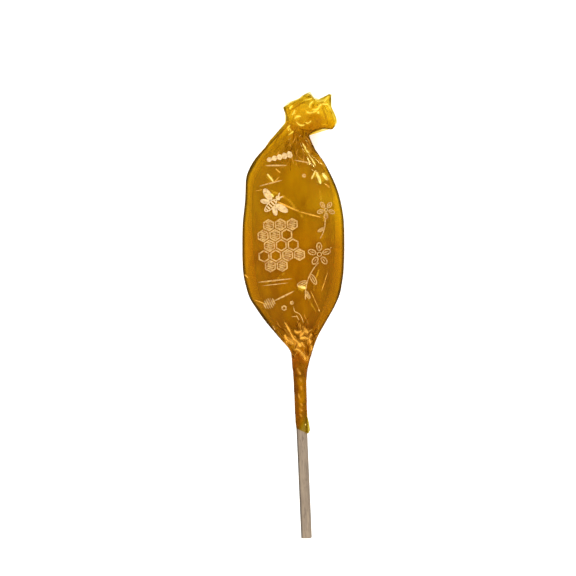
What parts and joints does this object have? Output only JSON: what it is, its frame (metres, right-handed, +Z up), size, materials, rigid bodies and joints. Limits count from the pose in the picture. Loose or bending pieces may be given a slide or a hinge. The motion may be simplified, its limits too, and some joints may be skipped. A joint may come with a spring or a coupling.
{
  "type": "honey lollipop",
  "caption": "Flat oval honey sweet on a round wooden stick, wrapped in a bag of clear amber film that is twisted into a tuft above it and wound round the stick below.",
  "frame": {"origin": "middle of the footprint of the lollipop as it lies on its back, on the table", "axes": "+Y from the stick's free end towards the twisted tuft of film, +Z up out of the broad side that shows"},
  "size_m": [0.0388, 0.1668, 0.0136],
  "materials": {
    "film": "clear crinkled cellophane tinted amber",
    "stick": "unvarnished birch dowel, sanded",
    "sweet": "boiled honey, glossy and slightly cloudy",
    "print": "thin pale ink on the film"
  },
  "bodies": {
    "root": {"stick": "stick", "wrapper": "film"}
  },
  "joints": []
}
